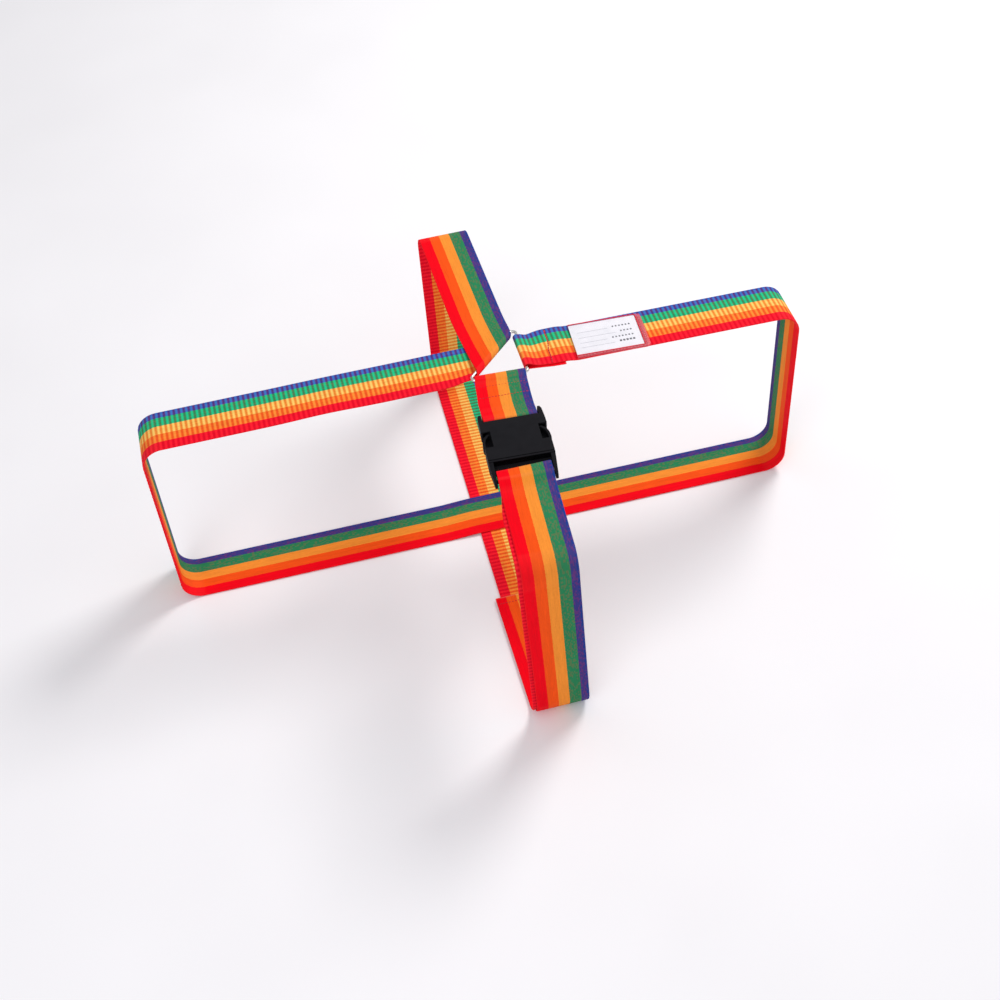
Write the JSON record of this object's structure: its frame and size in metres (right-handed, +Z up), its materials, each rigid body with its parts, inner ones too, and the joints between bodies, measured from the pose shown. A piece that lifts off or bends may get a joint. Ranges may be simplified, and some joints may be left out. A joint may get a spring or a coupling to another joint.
{
  "type": "luggage strap",
  "caption": "Cross-wrapped luggage strap of striped webbing with a three-cornered wire ring, a side-release buckle and an address tag pocket.",
  "frame": {"origin": "middle of the strap's footprint, on the floor that the wrapped case stands on", "axes": "+X along the case, towards the tag arm's end; +Y towards the case's far side, away from the buckle; +Z up"},
  "size_m": [0.636, 0.478, 0.2235],
  "materials": {
    "webbing": "striped woven polyester webbing",
    "thread": "polyester sewing thread",
    "ring_steel": "nickel-plated bent wire",
    "buckle_plastic": "fine-textured black acetal",
    "tag_vinyl": "soft translucent vinyl",
    "tag_film": "clear vinyl film",
    "card": "coated card"
  },
  "bodies": {
    "root": {"right_top": "webbing", "right_side": "webbing", "bottom_lengthwise": "webbing", "left_side": "webbing", "left_top": "webbing", "fold_over": "webbing", "far_top": "webbing", "far_side": "webbing", "bottom_crosswise": "webbing", "near_side": "webbing", "tail_side": "webbing", "short_strap": "webbing", "wire_ring": "ring_steel", "buckle_socket": "buckle_plastic", "tag_backing": "tag_vinyl", "tag_window": "tag_film", "tag_binding": "tag_vinyl", "right_loop_stitches": "thread", "short_strap_stitches": "thread", "tag_stitches": "thread", "tail_hem_stitches": "thread"},
    "plug": {"near_top": "webbing", "tail_top": "webbing", "buckle_plug": "buckle_plastic"},
    "prong_left": {"release_prong_left": "buckle_plastic"},
    "prong_right": {"release_prong_right": "buckle_plastic"},
    "card": {"tag_card": "card"}
  },
  "joints": [
    {"name": "plug_slide", "type": "slide", "parent": "root", "child": "plug", "axis": [-0.0645, -0.9979, 0], "range_m": [0, 0.046], "deforming": ["release_prong_left", "release_prong_right", "near_top", "tail_top"]},
    {"name": "prong_left_squeeze", "type": "hinge", "parent": "plug", "child": "prong_left", "pos_m": [-0.00869, -0.10946, 0.2168], "axis": [0, 0, -1], "range_deg": [0, 9], "stiffness_Nm_per_rad": 0.3},
    {"name": "prong_right_squeeze", "type": "hinge", "parent": "plug", "child": "prong_right", "pos_m": [0.03322, -0.11217, 0.2168], "axis": [0, 0, 1], "range_deg": [0, 9], "stiffness_Nm_per_rad": 0.3},
    {"name": "card_slide", "type": "slide", "parent": "root", "child": "card", "axis": [-0.9984, 0.0558, 0], "range_m": [0, 0.032]}
  ]
}
